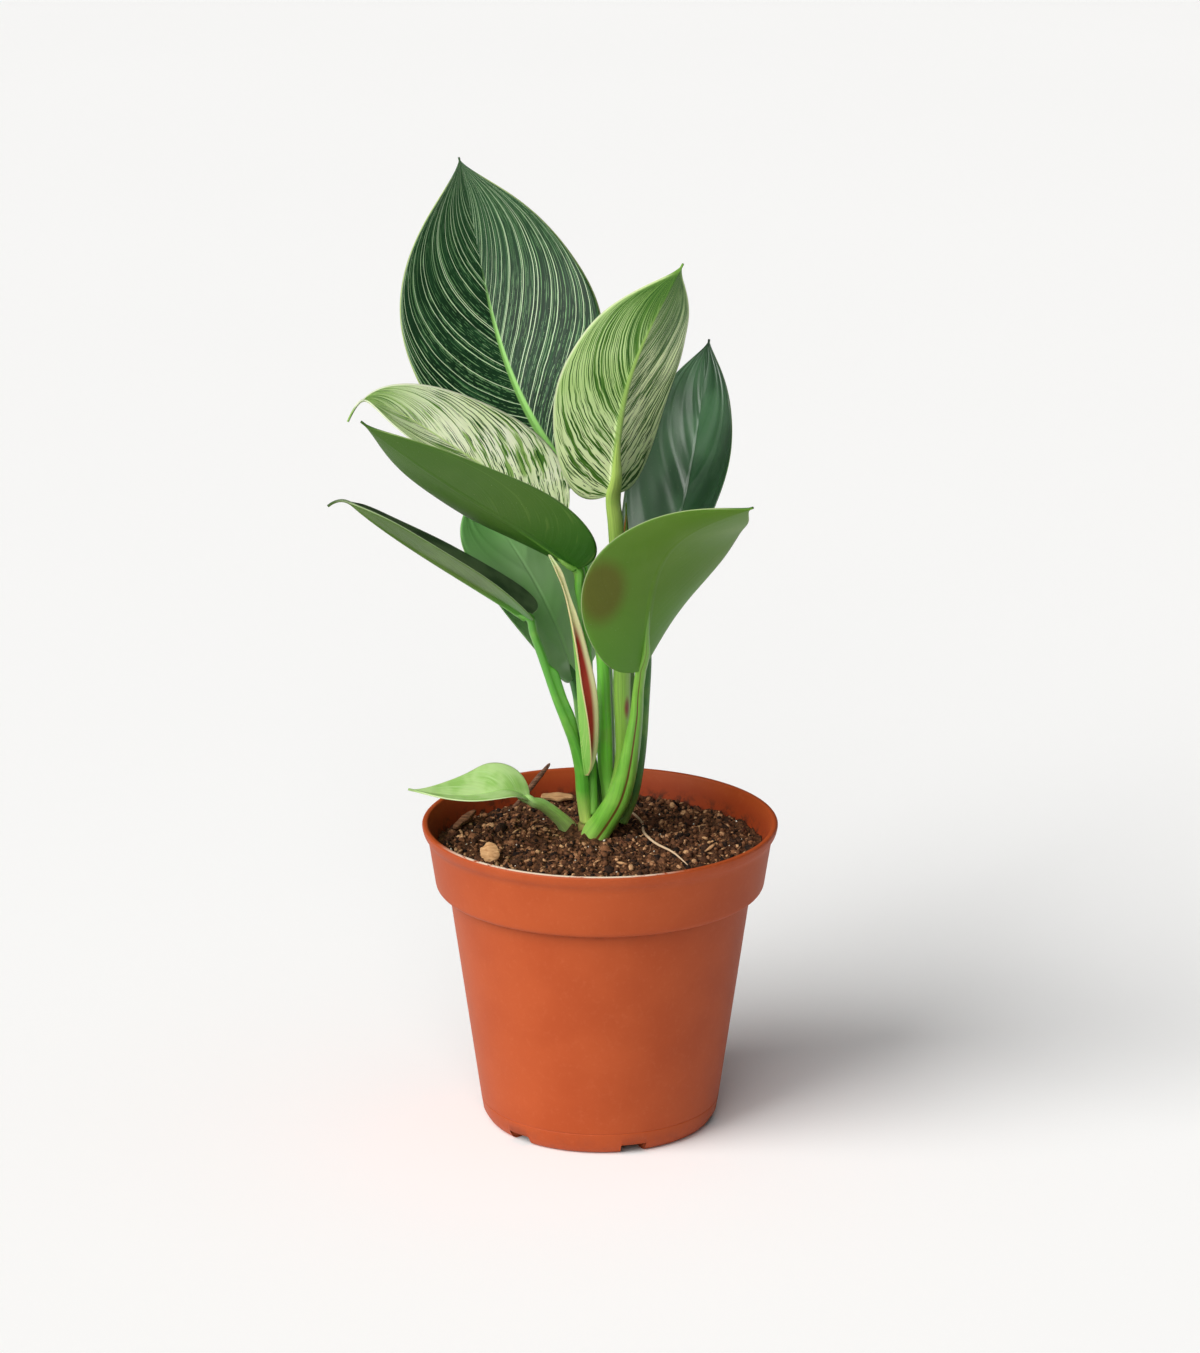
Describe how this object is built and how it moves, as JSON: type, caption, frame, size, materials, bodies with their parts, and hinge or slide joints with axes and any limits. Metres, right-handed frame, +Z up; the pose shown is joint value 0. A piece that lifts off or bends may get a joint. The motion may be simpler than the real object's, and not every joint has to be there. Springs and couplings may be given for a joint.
{
  "type": "philodendron birkin in a nursery pot",
  "caption": "Young potted philodendron with pin-striped and pale pointed oval leaves on upright stalks, rooted in soil in a round tapered plastic nursery pot.",
  "frame": {"origin": "middle of the pot's base, on the surface that the pot stands on", "axes": "+Z up the plant, +X to the plant's right and +Y to its back as the picture sees it"},
  "size_m": [0.1303, 0.1048, 0.2821],
  "materials": {
    "terracotta_plastic": "satin",
    "potting_soil": "matte",
    "pale_bark": "matte",
    "dark_bark": "matte",
    "crown": "satin",
    "sheath": "matte",
    "striped_blade": "satin",
    "cream_blade": "satin",
    "green_blade": "satin",
    "dark_blade": "satin",
    "young_blade": "satin",
    "green_stalk": "satin",
    "pale_stalk": "satin",
    "dark_stalk": "satin"
  },
  "bodies": {
    "root": {"pot": "terracotta_plastic", "potting_soil": "potting_soil", "wood_chip": "pale_bark", "bark_flake": "pale_bark", "bark_stick": "dark_bark", "dry_twig": "dark_bark", "crown": "crown", "front_sheath": "sheath", "back_sheath": "sheath", "striped_leaf_blade": "striped_blade", "pale_upright_leaf_blade": "cream_blade", "pale_arching_leaf_blade": "cream_blade", "left_front_leaf_blade": "green_blade", "right_front_leaf_blade": "green_blade", "left_folded_leaf_blade": "green_blade", "right_back_leaf_blade": "dark_blade", "left_back_leaf_blade": "dark_blade", "small_leaf_blade": "young_blade", "striped_leaf_stalk": "green_stalk", "pale_upright_leaf_stalk": "pale_stalk", "pale_arching_leaf_stalk": "pale_stalk", "left_front_leaf_stalk": "green_stalk", "right_front_leaf_stalk": "green_stalk", "left_folded_leaf_stalk": "green_stalk", "right_back_leaf_stalk": "dark_stalk", "left_back_leaf_stalk": "dark_stalk", "small_leaf_stalk": "green_stalk"}
  },
  "joints": []
}
